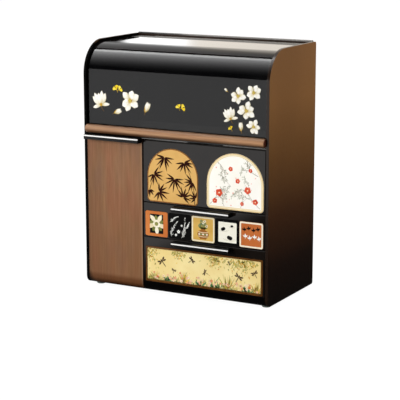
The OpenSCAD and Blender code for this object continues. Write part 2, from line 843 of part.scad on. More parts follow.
module lower_tray() {
    color("#262423") in_case() difference() {
        tray(drawer_tray_x, tray_y, lower_tray_z);
        screw_holes(lower_spots);
    }
}

module lower_screws() color("#b9bcc0") in_case() screws(lower_spots);
module lower_pull() color("#191919") in_case() pull(drawer_front_x, lower_pull_top, strip_drop);
module lower_pull_strip()
    color("#e6e6e6") in_case() pull_strip(drawer_front_x, lower_pull_top, strip_drop);

module picture_frame()
    color("#8a5a2b") in_case() inlay() difference() {
        frame_outline(0);
        picture_outline(inlay_gap);
    }

module picture_inlay() color("#e6cd86") in_case() inlay() picture_outline(0);

left_side_panel();
right_side_panel();
back_panel();
top_panel();
deck();
bottom_board();
partition();
upper_divider();
lower_divider();
tall_runners();
lower_runners();
rubber_feet();
back_screws();
lid_hinge_pins();
lid_hinge_washers();
lid_stops();
lid_shell();
lid_handle_bar();
lid_handle_screws();
tall_front();
tall_base_tray();
tall_shelf_tray();
tall_back_plate();
tall_screws();
tall_pull();
tall_pull_strip();
upper_front();
upper_tray();
upper_screws();
left_arch_inlay();
right_arch_inlay();
middle_front();
middle_tray();
middle_screws();
middle_pull();
middle_pull_strip();
tile(0, "#d97c45");  // tile_1
tile(1, "#1b1b1a");  // tile_2
tile(2, "#d9a850");  // tile_3
tile(3, "#efe9d8");  // tile_4
tile(4, "#c8602f");  // tile_5
lower_front();
lower_tray();
lower_screws();
lower_pull();
lower_pull_strip();
picture_frame();
picture_inlay();
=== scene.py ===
import math
import random

import bpy
from mathutils import Matrix, Vector


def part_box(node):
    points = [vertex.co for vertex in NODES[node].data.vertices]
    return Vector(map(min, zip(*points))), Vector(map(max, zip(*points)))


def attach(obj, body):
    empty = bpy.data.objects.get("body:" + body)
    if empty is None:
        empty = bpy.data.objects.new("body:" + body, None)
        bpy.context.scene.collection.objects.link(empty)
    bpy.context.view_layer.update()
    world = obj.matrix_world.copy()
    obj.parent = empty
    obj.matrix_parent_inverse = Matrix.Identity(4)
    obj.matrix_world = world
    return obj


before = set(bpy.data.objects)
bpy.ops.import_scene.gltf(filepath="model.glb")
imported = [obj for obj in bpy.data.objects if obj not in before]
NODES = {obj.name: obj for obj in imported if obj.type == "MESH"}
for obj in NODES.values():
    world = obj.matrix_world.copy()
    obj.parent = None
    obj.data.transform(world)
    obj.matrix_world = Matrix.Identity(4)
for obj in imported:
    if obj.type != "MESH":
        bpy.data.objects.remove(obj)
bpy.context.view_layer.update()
MM = 0.001
PHOTO_PX = 400

# Height of the feet, in millimetres
FOOT = 5.0

# Heights of the print in millimetres: over its ground, of a layer, of a petal's layer and crown, and set in
PRINT_RISE = 0.05
PRINT_LAYER = 0.025
PETAL_LAYER = 0.03
PETAL_CROWN = 0.25
PRINT_ROOT = 0.2

scene = bpy.context.scene
scene.view_settings.view_transform = "Standard"


def srgb(red, green, blue):
    """Linear colour of a display colour from 0 to 255."""
    def linear(value):
        value /= 255
        return value / 12.92 if value <= 0.04045 else ((value + 0.055) / 1.055) ** 2.4
    return (linear(red), linear(green), linear(blue), 1.0)


# Camera, worked out from the photograph's straight edges

def make_camera():
    azimuth, elevation, roll = (math.radians(a) for a in (28.451, 11.805, -0.025))
    focal_px, distance, across, upward = 1458.887, 2498.391, -2.123, 60.138
    aim = Vector((0, 4.75, FOOT + 209))
    flat = math.cos(elevation)
    back = Vector((math.sin(azimuth) * flat, -math.cos(azimuth) * flat, math.sin(elevation)))
    right = Vector((math.cos(azimuth), math.sin(azimuth), 0))
    up = back.cross(right)
    level_right, level_up = right, up
    right = level_right * math.cos(roll) + level_up * math.sin(roll)
    up = level_up * math.cos(roll) - level_right * math.sin(roll)
    place = (aim - right * across - up * upward + back * distance) * MM
    data = bpy.data.cameras.new("camera")
    data.sensor_width = 36
    data.lens = focal_px * data.sensor_width / PHOTO_PX
    data.clip_end = 50
    camera = bpy.data.objects.new("camera", data)
    scene.collection.objects.link(camera)
    turn = Matrix((right, up, back)).transposed().to_4x4()
    camera.matrix_world = Matrix.Translation(place) @ turn
    scene.camera = camera


# Material helpers

class Paint:
    """A node material around one Principled shader, with short calls to add and join nodes."""

    def __init__(self, name, color=(0.5, 0.5, 0.5, 1), rough=0.4, **sockets):
        self.material = bpy.data.materials.new(name)
        self.material.use_nodes = True
        self.tree = self.material.node_tree
        self.shader = self.tree.nodes["Principled BSDF"]
        self.shader.inputs["Base Color"].default_value = color
        self.shader.inputs["Roughness"].default_value = rough
        for key, value in sockets.items():
            self.shader.inputs[key.replace("_", " ")].default_value = value

    def add(self, kind, settings=None, **inputs):
        node = self.tree.nodes.new("ShaderNode" + kind)
        for key, value in (settings or {}).items():
            setattr(node, key, value)
        for key, value in inputs.items():
            socket = node.inputs[int(key[1:])] if key[0] == "i" and key[1:].isdigit() else node.inputs[key]
            if isinstance(value, bpy.types.NodeSocket):
                self.tree.links.new(value, socket)
            else:
                socket.default_value = value
        return node

    def to(self, socket_name, value):
        self.tree.links.new(value, self.shader.inputs[socket_name])

    def place(self):
        return self.add("TexCoord").outputs["Object"]

    def axis(self, letter):
        return self.add("SeparateXYZ", i0=self.place()).outputs[letter]

    def noise(self, scale, detail=4.0, rough=0.55, stretch=(1, 1, 1)):
        spread = self.add("Mapping", Vector=self.place(), Scale=stretch).outputs[0]
        return self.add("TexNoise", Vector=spread, Scale=scale, Detail=detail, Roughness=rough).outputs[0]

    def upward(self):
        """How far the surface looks up, from -1 to 1."""
        return self.add("SeparateXYZ", i0=self.add("NewGeometry").outputs["Normal"]).outputs["Z"]

    def facing(self, letter):
        """How far the surface looks along one of the piece's own axes."""
        return self.add("SeparateXYZ", i0=self.add("TexCoord").outputs["Normal"]).outputs[letter]

    def math(self, operation, a, b=0.0):
        return self.add("Math", {"operation": operation}, i0=a, i1=b).outputs[0]

    def times(self, first, *others):
        for other in others:
            first = self.math("MULTIPLY", first, other)
        return first

    def span(self, value, low, high, out_low=0.0, out_high=1.0, smooth=True):
        kind = "SMOOTHSTEP" if smooth else "LINEAR"
        ends = {"i1": low, "i2": high, "i3": out_low, "i4": out_high}
        return self.add("MapRange", {"interpolation_type": kind}, i0=value, **ends).outputs[0]

    def blend(self, factor, a, b):
        """A number between two others."""
        return self.add("Mix", {"data_type": "FLOAT"}, i0=factor, i2=a, i3=b).outputs[0]

    def ramp(self, value, *stops):
        node = self.add("ValToRGB", i0=value)
        band = node.color_ramp
        while len(band.elements) < len(stops):
            band.elements.new(0.5)
        for element, (at, color) in zip(band.elements, stops):
            element.position = at
            element.color = color
        return node.outputs[0]

    def mix(self, factor, a, b, blend="MIX"):
        """A colour between two others."""
        return self.add("Mix", {"data_type": "RGBA", "blend_type": blend}, i0=factor, i6=a, i7=b).outputs[2]

    def finish(self, height, strength, depth_mm, edge_mm):
        """Adds fine relief and softly shaded edges, and returns the material."""
        bump = self.add("Bump", Height=height, Strength=strength, Distance=depth_mm * MM)
        if edge_mm:
            soft = self.add("Bevel", {"samples": 6}, Radius=edge_mm * MM).outputs[0]
            self.tree.links.new(soft, bump.inputs["Normal"])
        self.to("Normal", bump.outputs[0])
        return self.material


def shade(color, factor):
    """A colour made lighter or darker."""
    return tuple(min(1, c * factor) for c in color[:3]) + (1,)


def lacquer_panel(name, rim, rim_rough, ledge_rough, ior):
    """Side panel: brown lacquer outside with painted shade that darkens it towards the foot and painted
    light towards the back, dark edges and inside.
    """
    box_height, outer_face = 0.4275, 0.17492
    paint = Paint(name, IOR=ior)
    # Painted shade: the brown grows darker towards the foot
    painted_shade_by_height = paint.ramp(
        paint.span(paint.axis("Z"), 0.0, box_height, smooth=False),
        (0.0, srgb(12, 4, 1)), (0.16, srgb(28, 12, 3)), (0.36, srgb(70, 40, 17)),
        (0.58, srgb(117, 78, 39)), (0.80, srgb(150, 104, 59)), (1.0, srgb(152, 107, 66)))
    cloud_and_painted_light = paint.span(paint.noise(9, stretch=(1, 1, 0.4)), 0.3, 0.7, 0.93, 1.05)
    # Painted light: the brown grows lighter towards the back edge
    cloud_and_painted_light = paint.times(cloud_and_painted_light, paint.span(paint.axis("Y"), -0.02, 0.11, 1.0, 1.13))
    grey = paint.add("CombineColor", i0=cloud_and_painted_light, i1=cloud_and_painted_light, i2=cloud_and_painted_light).outputs[0]
    brown = paint.mix(1.0, painted_shade_by_height, grey, "MULTIPLY")
    outside = paint.math("GREATER_THAN", paint.math("ABSOLUTE", paint.axis("X")), outer_face)
    upward = paint.upward()
    edge = paint.mix(paint.span(upward, 0.86, 0.98), rim, srgb(62, 43, 26))
    paint.to("Base Color", paint.mix(outside, edge, brown))
    satin = paint.span(paint.noise(160), 0.3, 0.7, 0.31, 0.38)
    edge_rough = paint.span(upward, 0.7, 0.97, rim_rough, ledge_rough)
    paint.to("Roughness", paint.blend(outside, edge_rough, satin))
    return paint.finish(paint.noise(700, 2), 0.04, 0.03, 0.8)


def back_board():
    """Dark board whose rail along the top is paler along its crest, a painted highlight, and along its
    front foot, a painted reflection, but for its left end.
    """
    paint = Paint("back_board", rough=0.22, IOR=1.35)
    grain = paint.noise(60, 5, stretch=(1, 1, 0.06))
    board = paint.ramp(grain, (0.3, srgb(34, 24, 18)), (0.7, srgb(50, 36, 27)))
    left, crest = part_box("back_panel")[0][0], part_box("back_panel")[1][2]
    height = paint.axis("Z")
    # Painted highlight along the rail's crest, greyer to the left and black at its left end
    painted_highlight_crest = paint.span(height, crest - 0.0033, crest - 0.0015)
    along = paint.axis("X")
    pale = paint.mix(paint.span(along, left + 0.075, left + 0.110), srgb(66, 64, 61), srgb(132, 129, 125))
    end = paint.span(along, left + 0.030, left + 0.040)
    pale = paint.mix(end, srgb(12, 11, 10), pale)
    # Painted reflection: a pale band low on the rail's front face, dark brown at its left end
    foot = paint.mix(end, srgb(40, 33, 28), srgb(190, 185, 177))
    low = paint.times(paint.span(paint.facing("Y"), -0.6, -0.9),
                      paint.span(height, crest - 0.0102, crest - 0.0100),
                      paint.span(height, crest - 0.0070, crest - 0.0056, 1.0, 0.0))
    board = paint.mix(low, board, foot)
    paint.to("Base Color", paint.mix(painted_highlight_crest, board, pale))
    return paint.finish(grain, 0.05, 0.05, 0.8)


def gloss(name, color, rough=0.05, ior=1.5, speck=0.25, edge_mm=0.6, dull=None, foot=None):
    """High gloss lacquer with a faint orange-peel surface.

    Dull is the roughness along the rail. With a foot it is blacker below that height, a painted shade near
    the floor, and its upper edges are matt.
    """
    paint = Paint(name, color, rough, IOR=ior)
    if dull:
        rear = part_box("top_panel")[1][1]
        widening = paint.span(paint.axis("X"), 0.0, 0.17, 0.0, 0.005)
        depth = paint.math("ADD", paint.axis("Y"), widening)
        paint.to("Roughness", paint.span(depth, rear - 0.033, rear - 0.020, rough, dull))
    tone = paint.ramp(paint.noise(35), (0.3, shade(color, 1 - speck)), (0.7, shade(color, 1 + speck)))
    if foot:
        paint.to("Roughness", paint.span(paint.upward(), 0.5, 0.9, rough, 1.0))
        # Painted shade: blacker below the foot height, near the floor
        painted_shade_below = paint.span(paint.axis("Z"), foot - 0.002, foot, 1.0, 0.0)
        tone = paint.mix(painted_shade_below, tone, shade(color, 0.12))
    paint.to("Base Color", tone)
    return paint.finish(paint.noise(260, 2), 0.012, 0.02, edge_mm)


def matt(name, color, rough):
    """Matt moulded plastic, rubber or laminate with fine grit."""
    paint = Paint(name, color, rough)
    tone = paint.ramp(paint.noise(70), (0.3, shade(color, 0.82)), (0.7, shade(color, 1.15)))
    paint.to("Base Color", tone)
    return paint.finish(paint.noise(900, 2), 0.15, 0.05, 0.5)


def smoked_lid():
    """Dark see-through sheet with a mirror finish."""
    paint = Paint("smoked_lid", srgb(9, 9, 10), 0.03, IOR=1.52, Alpha=0.86)
    tone = paint.ramp(paint.noise(12), (0.35, srgb(6, 6, 7)), (0.65, srgb(13, 13, 14)))
    paint.to("Base Color", tone)
    return paint.finish(paint.noise(40, 2), 0.006, 0.05, 0.4)


def walnut():
    """Upright veneer: streaks, pores and a slow drift of tone, with painted shade at the foot, below the
    pull, on the left and in the lower left corner, and a painted highlight and a painted gap shade along
    the right edge.
    """
    paint = Paint("walnut", rough=0.42, IOR=1.2)
    streak = paint.noise(230, 6, 0.62, stretch=(1, 1, 0.06))
    band = paint.noise(60, 3, 0.5, stretch=(1, 1, 0.09))
    patch = paint.noise(26, 3, 0.5, stretch=(1, 1, 0.35))
    pore = paint.noise(900, 3, 0.6, stretch=(1, 1, 0.02))
    base = paint.ramp(streak, (0.30, srgb(107, 74, 51)), (0.52, srgb(134, 97, 71)),
                      (0.72, srgb(156, 117, 89)))
    drift = paint.ramp(band, (0.30, srgb(143, 96, 69)), (0.55, srgb(129, 96, 71)),
                       (0.75, srgb(159, 120, 83)))
    tone = paint.mix(0.45, base, drift)
    blush = paint.ramp(patch, (0.35, srgb(122, 96, 84)), (0.5, srgb(150, 108, 72)),
                       (0.62, srgb(158, 92, 66)))
    tone = paint.mix(0.2, tone, blush)
    tone = paint.mix(paint.span(pore, 0.58, 0.72, 0.0, 0.35), tone, srgb(76, 49, 33))
    height = paint.axis("Z")
    # Painted shade: darker, warmer brown towards the foot
    tone = paint.mix(paint.span(height, 0.03, 0.24, 0.36, 0.0), tone, srgb(108, 68, 32))
    corner, far_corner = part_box("tall_front")
    brink, top = far_corner[0], far_corner[2]
    # Painted highlight: a light line just inside the right edge
    edge = paint.span(paint.axis("X"), brink - 0.0042, brink - 0.0034)
    tone = paint.mix(edge, tone, srgb(147, 115, 89))
    # Painted shade where the foot curls under, darkest at the bottom
    tone = paint.mix(paint.span(height, 0.0190, 0.0285, 0.64, 0.0), tone, srgb(76, 36, 4))
    tone = paint.mix(paint.span(height, 0.007, 0.019, 0.72, 0.0), tone, srgb(44, 18, 2))
    # Painted shadow of the pull and bar along the top edge
    tone = paint.mix(paint.span(height, top - 0.011, top - 0.002, 0.0, 0.42), tone, srgb(74, 54, 44))
    # Painted shade towards the left side
    tone = paint.mix(paint.span(paint.axis("X"), -0.172, -0.115, 0.30, 0.0), tone, srgb(84, 60, 42))
    # Painted shade in the lower left corner, beside the side panel's rounded foot
    beside = paint.span(paint.axis("X"), corner[0], corner[0] + 0.012, 1.0, 0.0, False)
    low = paint.span(height, corner[2], corner[2] + 0.026, 1.0, 0.0, False)
    shadow = paint.span(paint.math("ADD", beside, low), 0.55, 1.75, 0.0, 0.95)
    tone = paint.mix(shadow, tone, srgb(10, 4, 1))
    # Dark band along the right edge, painted shade standing in for a wider gap beside the front
    edge = paint.span(paint.axis("X"), brink - 0.0022, brink - 0.0016)
    paint.to("Base Color", paint.mix(edge, tone, srgb(38, 24, 17)))
    paint.to("Roughness", paint.span(streak, 0.3, 0.7, 0.48, 0.38))
    return paint.finish(pore, 0.10, 0.04, 0.6)


def light_wood():
    """Turned bar with the grain along it, with painted shade above and below a lighter band along its front
    and towards its left end, and with dark red-brown ends.
    """
    bar_end = 0.1688
    paint = Paint("light_wood", rough=0.46, IOR=1.5)
    streak = paint.noise(260, 6, 0.6, stretch=(0.03, 1, 1))
    pore = paint.noise(900, 3, 0.6, stretch=(0.02, 1, 1))
    base = paint.ramp(streak, (0.30, srgb(140, 94, 61)), (0.52, srgb(182, 136, 96)),
                      (0.74, srgb(211, 167, 124)))
    tone = paint.mix(paint.span(pore, 0.58, 0.72, 0.0, 0.3), base, srgb(112, 73, 49))
    along = paint.axis("X")
    # Painted shade: darker above and below a lighter band along the front, which lies lower towards the
    # right end
    lift = paint.math("ADD", paint.facing("Z"), paint.span(along, -0.16, 0.16, -0.12, 0.13, False))
    painted_shade_below = paint.span(lift, 0.12, -0.7, 0.0, 0.86)
    above = paint.span(lift, 0.22, 0.9, 0.0, 0.62)
    tone = paint.mix(paint.math("MAXIMUM", painted_shade_below, above), tone, srgb(70, 43, 25))
    # Painted shade: darker towards the left end
    tone = paint.mix(paint.span(along, -0.16, 0.16, 0.44, -0.06, False), tone, srgb(100, 64, 36))
    end = paint.math("GREATER_THAN", paint.math("ABSOLUTE", along), bar_end)
    paint.to("Base Color", paint.mix(end, tone, srgb(88, 40, 24)))
    return paint.finish(pore, 0.08, 0.04, 0.5)


def metal(name, color, rough):
    """Brushed bare metal."""
    paint = Paint(name, color, rough, Metallic=1.0)
    brush = paint.noise(900, 3, stretch=(0.02, 1, 1))
    paint.to("Roughness", paint.span(brush, 0.3, 0.7, rough * 0.8, rough * 1.3))
    return paint.finish(brush, 0.03, 0.02, 0.3)


def printed(name, low, high, scale=22):
    """Coloured print under clear gloss: a soft two-tone ground with fine flecks."""
    paint = Paint(name, rough=0.26, IOR=1.3, Coat_Weight=0.15, Coat_Roughness=0.06)
    ground = paint.ramp(paint.noise(scale, 5), (0.32, low), (0.68, high))
    fleck = paint.span(paint.noise(650, 2), 0.62, 0.74, 0.0, 0.25)
    paint.to("Base Color", paint.mix(fleck, ground, high))
    return paint.finish(paint.noise(500, 2), 0.03, 0.03, 0.3)


def ink(name, *stops):
    """Printing ink whose tone follows the tint of each stroke, with a faint mottle."""
    paint = Paint(name, rough=0.55, IOR=1.12)
    tint = paint.add("Attribute", {"attribute_name": "tint"}).outputs["Fac"]
    mottle = paint.span(paint.noise(420, 3), 0.3, 0.7, -0.08, 0.08)
    steps = [(i / (len(stops) - 1), srgb(*color)) for i, color in enumerate(stops)]
    paint.to("Base Color", paint.ramp(paint.math("ADD", tint, mottle), *steps))
    return paint.finish(paint.noise(600, 2), 0.04, 0.02, 0)


def assign(material, *names):
    """Gives one material to every slot of the named nodes."""
    for name in names:
        for slot in NODES[name].material_slots:
            slot.material = material


def dress_nodes():
    # The left panel takes a darker copy of this lacquer: its rim is painted near black and barely reflects,
    # as painted shade
    assign(lacquer_panel("brown_lacquer_left_painted_shade", srgb(4, 4, 4), 0.5, 0.95, 1.07), "left_side_panel")
    assign(lacquer_panel("brown_lacquer_right", srgb(34, 22, 14), 0.2, 0.35, 1.42), "right_side_panel")
    assign(back_board(), "back_panel")
    # The back panel isn't mirrored in the top, so that the bright wall behind shows there up to the rail
    NODES["back_panel"].visible_glossy = False
    assign(gloss("top_gloss", srgb(24, 20, 18), 0.075, 1.6, dull=0.5), "top_panel")
    assign(matt("inner_board", srgb(30, 28, 27), 0.42), "deck", "bottom_board", "partition",
           "upper_divider", "lower_divider")
    assign(matt("runner", srgb(214, 211, 202), 0.45), "tall_runners", "lower_runners")
    assign(matt("foot_rubber", srgb(116, 124, 116), 0.75), "rubber_feet")
    assign(matt("stop_rubber", srgb(28, 28, 28), 0.8), "lid_stops")
    assign(matt("nylon", srgb(24, 23, 22), 0.5), "lid_hinge_washers")
    assign(metal("steel", srgb(190, 192, 196), 0.3), "back_screws", "lid_hinge_pins", "lid_handle_screws",
           "tall_screws", "upper_screws", "middle_screws", "lower_screws")
    assign(smoked_lid(), "lid_shell")
    assign(light_wood(), "lid_handle_bar")
    assign(walnut(), "tall_front")
    assign(matt("tray_black", srgb(42, 40, 39), 0.65), "tall_base_tray", "tall_shelf_tray",
           "tall_back_plate", "upper_tray", "middle_tray", "lower_tray")
    picture_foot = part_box("picture_frame")[0][2]
    assign(gloss("black_gloss", srgb(21, 16, 13), 0.06, foot=picture_foot), "upper_front", "middle_front",
           "lower_front")
    assign(gloss("pull_black", srgb(9, 8, 8), 0.34, 1.3), "tall_pull", "middle_pull", "lower_pull")
    assign(gloss("bright_strip", srgb(240, 239, 237), 0.18, 1.45, 0.02, 0.3), "tall_pull_strip",
           "middle_pull_strip", "lower_pull_strip")
    assign(printed("gold_ground", srgb(210, 164, 90), srgb(222, 177, 103)), "left_arch_inlay")
    assign(printed("cream_ground", srgb(252, 248, 236), srgb(255, 253, 247)), "right_arch_inlay")
    assign(printed("orange_ground", srgb(190, 100, 38), srgb(208, 124, 58)), "tile_1")
    assign(gloss("ink_ground", srgb(7, 7, 7), 0.5, 1.14), "tile_2", "tile_4")
    assign(printed("ochre_ground", srgb(204, 158, 70), srgb(222, 182, 96)), "tile_3")
    assign(printed("rust_ground", srgb(181, 94, 42), srgb(201, 114, 58)), "tile_5")
    assign(printed("meadow_ground", srgb(234, 206, 131), srgb(247, 228, 165), 14), "picture_inlay")
    assign(printed("frame_brown", srgb(80, 46, 12), srgb(106, 66, 24), 60), "picture_frame")


# Printed artwork: closed prisms less than a millimetre high, set into the face that carries them

def polar(at, angle, reach):
    """The point at an angle in degrees and a distance from another."""
    turn = math.radians(angle)
    return (at[0] + reach * math.cos(turn), at[1] + reach * math.sin(turn))


def rounded(w, h, r, steps=6):
    """Rounded rectangle about the origin."""
    out = []
    for k, (sx, sy) in enumerate(((1, 1), (-1, 1), (-1, -1), (1, -1))):
        mid = (sx * (w / 2 - r), sy * (h / 2 - r))
        out += [polar(mid, 90 * (k + i / steps), r) for i in range(steps + 1)]
    return out


def arched(w, h, r, inward=0.0):
    """Arch on the base line, drawn in by a distance."""
    half = w / 2 - inward
    spring = h - w / 2
    corner = max(1.0, r - inward)
    out = [polar((0, spring), 180 * i / 40, half) for i in range(41)]
    out += [polar((corner - half, corner + inward), 180 + 90 * i / 6, corner) for i in range(7)]
    out += [polar((half - corner, corner + inward), 270 + 90 * i / 6, corner) for i in range(7)]
    return out


def bow(a, b, c, steps=10):
    """Curve from a to c that is drawn towards b."""
    out = []
    for i in range(steps + 1):
        t = i / steps
        out.append(tuple((1 - t) ** 2 * p + 2 * t * (1 - t) * q + t * t * s for p, q, s in zip(a, b, c)))
    return out


def clip(points, fence):
    """The part of a polygon inside a convex fence."""
    for a, b in zip(fence, fence[1:] + fence[:1]):
        def side(p):
            return (b[0] - a[0]) * (p[1] - a[1]) - (b[1] - a[1]) * (p[0] - a[0])
        kept = []
        for p, q in zip(points, points[1:] + points[:1]):
            sp, sq = side(p), side(q)
            if sp >= 0:
                kept.append(p)
            if (sp >= 0) != (sq >= 0):
                t = sp / (sp - sq)
                kept.append((p[0] + t * (q[0] - p[0]), p[1] + t * (q[1] - p[1])))
        points = kept
        if len(points) < 3:
            return []
    return points


class Print:
    """One printed picture on the front face of a node, drawn in millimetres."""

    def __init__(self, name, node, origin, fence=None):
        self.name = name
        self.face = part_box(node)[0][1]
        self.origin = origin
        self.fence = fence
        self.points, self.faces, self.marks, self.tints, self.inks = [], [], [], [], []

    def ink(self, material):
        if material not in self.inks:
            self.inks.append(material)
        return self.inks.index(material)

    def vertex(self, point, rise, tint):
        x, z = (self.origin[0] + point[0]) * MM, (self.origin[1] + point[1]) * MM
        self.points.append((x, self.face - rise * MM, z))
        self.tints.append(tint)
        return len(self.points) - 1

    def facet(self, corners, mark):
        self.faces.append(corners)
        self.marks.append(mark)

    def shape(self, points, layer, material, tint=0.5):
        """One flat closed prism, whose back is set into the face."""
        if self.fence:
            points = clip(points, self.fence)
        clean = [p for p, q in zip(points, points[1:] + points[:1]) if math.dist(p, q) > 0.004]
        if len(clean) < 3:
            return
        area = sum(p[0] * q[1] - q[0] * p[1] for p, q in zip(clean, clean[1:] + clean[:1]))
        if abs(area) < 0.02:
            return
        if area < 0:
            clean.reverse()
        mark = self.ink(material)
        rise = PRINT_RISE + PRINT_LAYER * layer
        front = [self.vertex(p, rise, tint) for p in clean]
        rear = [self.vertex(p, -PRINT_ROOT, tint) for p in clean]
        self.facet(front, mark)
        self.facet(rear[::-1], mark)
        for i in range(len(clean)):
            k = (i + 1) % len(clean)
            self.facet([front[k], front[i], rear[i], rear[k]], mark)

    def ring(self, outer, inner, layer, material, tint=0.5):
        """A closed band between two outlines with the same number of points."""
        mark = self.ink(material)
        rise = PRINT_RISE + PRINT_LAYER * layer
        loops = [[self.vertex(p, r, tint) for p in line] for line, r in
                 ((outer, rise), (inner, rise), (inner, -PRINT_ROOT), (outer, -PRINT_ROOT))]
        for i in range(len(outer)):
            k = (i + 1) % len(outer)
            for a, b in zip(loops, loops[1:] + loops[:1]):
                self.facet([a[i], a[k], b[k], b[i]], mark)

    def disc(self, at, r, layer, material, tint=0.5, squash=1.0, steps=18):
        self.shape([(at[0] + r * math.cos(a), at[1] + r * squash * math.sin(a))
                    for a in (2 * math.pi * i / steps for i in range(steps))], layer, material, tint)

    def leaf(self, at, angle, length, width, layer, material, tint=0.5, bend=0.0, fat=0.45, steps=8):
        """Pointed leaf from its foot, widest at fat of its length and bent sideways at the tip."""
        sides = ([], [])
        for i in range(steps + 1):
            t = i / steps
            swell = math.sin(math.pi * t ** (math.log(0.5) / math.log(fat)))
            for row, way in zip(sides, (-1, 1)):
                row.append((t * length, way * width / 2 * swell + bend * t * t))
        turn = math.radians(angle)
        along, across = (math.cos(turn), math.sin(turn)), (-math.sin(turn), math.cos(turn))
        self.shape([(at[0] + p[0] * along[0] + p[1] * across[0], at[1] + p[0] * along[1] + p[1] * across[1])
                    for p in sides[0] + sides[1][-2:0:-1]], layer, material, tint)

    def stroke(self, line, thick, thin, layer, material, tint=0.5):
        """Brush stroke along a line that thins towards its end."""
        for i, (p, q) in enumerate(zip(line, line[1:])):
            span = math.dist(p, q)
            if span < 1e-6:
                continue
            nx, ny = (p[1] - q[1]) / span, (q[0] - p[0]) / span
            a = (thick + (thin - thick) * i / (len(line) - 1)) / 2
            b = (thick + (thin - thick) * (i + 1) / (len(line) - 1)) / 2
            step = layer + 0.3 * (i % 2)
            piece = [(p[0] + nx * a, p[1] + ny * a), (p[0] - nx * a, p[1] - ny * a),
                     (q[0] - nx * b, q[1] - ny * b), (q[0] + nx * b, q[1] + ny * b)]
            self.shape(piece, step, material, tint)

    def petal(self, at, angle, length, width, layer, material, dark=0.0, light=1.0, bend=0.0, blunt=0.62):
        """Cupped petal: a fine grid with a raised middle whose tint runs from its foot to its tip."""
        rows, cols = 9, 4
        mark = self.ink(material)
        turn = math.radians(angle)
        along, across = (math.cos(turn), math.sin(turn)), (-math.sin(turn), math.cos(turn))
        front, rear = [], []
        for i in range(rows + 1):
            t = 0.02 + 0.98 * i / rows
            swell = math.sin(math.pi * min(1, t) ** (math.log(0.5) / math.log(blunt))) ** 0.92
            line, under = [], []
            for j in range(cols + 1):
                s = 2 * j / cols - 1
                u, v = t * length, s * (width / 2 * swell + 0.05) + bend * t * t
                point = (at[0] + u * along[0] + v * across[0], at[1] + u * along[1] + v * across[1])
                crown = (1 - s * s) * swell
                share = min(1, 1.15 * t ** 0.7 * (0.46 + 0.54 * crown ** 0.6) + 0.07 * s)
                tint = dark + (light - dark) * share
                rise = PRINT_RISE + PETAL_LAYER * layer + PETAL_CROWN * crown
                line.append(self.vertex(point, rise, tint))
                under.append(self.vertex(point, -PRINT_ROOT, tint))
            front.append(line)
            rear.append(under)
        for i in range(rows):
            for j in range(cols):
                self.facet([front[i][j], front[i + 1][j], front[i + 1][j + 1], front[i][j + 1]], mark)
                self.facet([rear[i][j + 1], rear[i + 1][j + 1], rear[i + 1][j], rear[i][j]], mark)
            self.facet([front[i + 1][0], front[i][0], rear[i][0], rear[i + 1][0]], mark)
            self.facet([front[i][cols], front[i + 1][cols], rear[i + 1][cols], rear[i][cols]], mark)
        for j in range(cols):
            self.facet([front[0][j], front[0][j + 1], rear[0][j + 1], rear[0][j]], mark)
            self.facet([front[rows][j + 1], front[rows][j], rear[rows][j], rear[rows][j + 1]], mark)

    def place(self, body, slot):
        """Makes the piece, which rides on a body."""
        mesh = bpy.data.meshes.new(self.name)
        mesh.from_pydata(self.points, [], self.faces)
        for material in self.inks:
            mesh.materials.append(material)
        mesh.polygons.foreach_set("material_index", self.marks)
        tint = mesh.attributes.new("tint", "FLOAT", "POINT")
        tint.data.foreach_set("value", self.tints)
        mesh.validate()
        piece = bpy.data.objects.new(self.name, mesh)
        scene.collection.objects.link(piece)
        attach(piece, body)


def blossom(art, at, r, turn, layer, white, pollen, count=6):
    """Open star blossom: two rounds of pointed petals with a ring of stamens."""
    for i in range(count):
        sway = math.sin(2.4 * i + turn)
        art.petal(at, turn + 360 * i / count + 7 * sway, r * (0.96 + 0.08 * math.cos(3.1 * i + turn)),
                  r * (0.6 + 0.05 * sway), layer + i % 2, white, 0.0, 0.9 + 0.1 * (i % 2), 0.1 * r * sway)
    for i in range(3):
        art.petal(at, turn + 35 + 120 * i, r * 0.58, r * 0.4, layer + 5 + i, white, 0.0, 1.0, 0.05 * r)
    for i in range(7):
        tip = polar(at, turn + 51.4 * i, r * 0.16)
        art.disc(tip, r * 0.055, layer + 20, pollen, 0.3 + 0.1 * (i % 3), steps=8)
    art.disc(at, r * 0.1, layer + 18, pollen, 0.75, steps=10)


def goblet(art, at, size, turn, layer, white, pollen, stem):
    """Half-open blossom seen from the side."""
    for angle, reach, wide, step, light in (
            (-40, 0.94, 0.36, 0, 0.78), (40, 0.9, 0.36, 0, 0.84), (-19, 1.04, 0.36, 3, 0.9),
            (21, 1.0, 0.36, 4, 0.95), (1, 0.88, 0.42, 8, 1.0)):
        art.petal(at, turn + angle, size * reach, size * wide, layer + step, white, 0.05, light,
                  -0.08 * size * angle / 38, 0.56)
    for way in (-80, 78):
        art.petal(at, turn + way, size * 0.66, size * 0.26, layer - 1, white, 0.05, 0.86,
                  0.14 * size * way / 80, 0.56)
    art.leaf(polar(at, turn + 180, size * 0.05), turn, size * 0.3, size * 0.2, layer + 14, pollen, 0.2)
    stalk = bow(at, polar(at, turn + 170, size * 0.2), polar(at, turn + 196, size * 0.42), 5)
    art.stroke(stalk, 1.3, 0.7, layer - 2, stem)


def bud(art, at, size, turn, layer, white, pollen, stem):
    """Closed blossom on a short stalk."""
    for angle, wide, step in ((-9, 0.34, 0), (9, 0.34, 1), (0, 0.3, 2)):
        art.petal(at, turn + angle, size, size * wide, layer + 3 * step, white, -0.1, 0.72 + 0.1 * step,
                  0, 0.5)
    art.leaf(at, turn + 14, size * 0.56, size * 0.24, layer + 10, pollen, 0.25, size * 0.04)
    art.stroke([at, polar(at, turn + 186, size * 0.25)], 1.3, 0.8, layer - 1, stem)


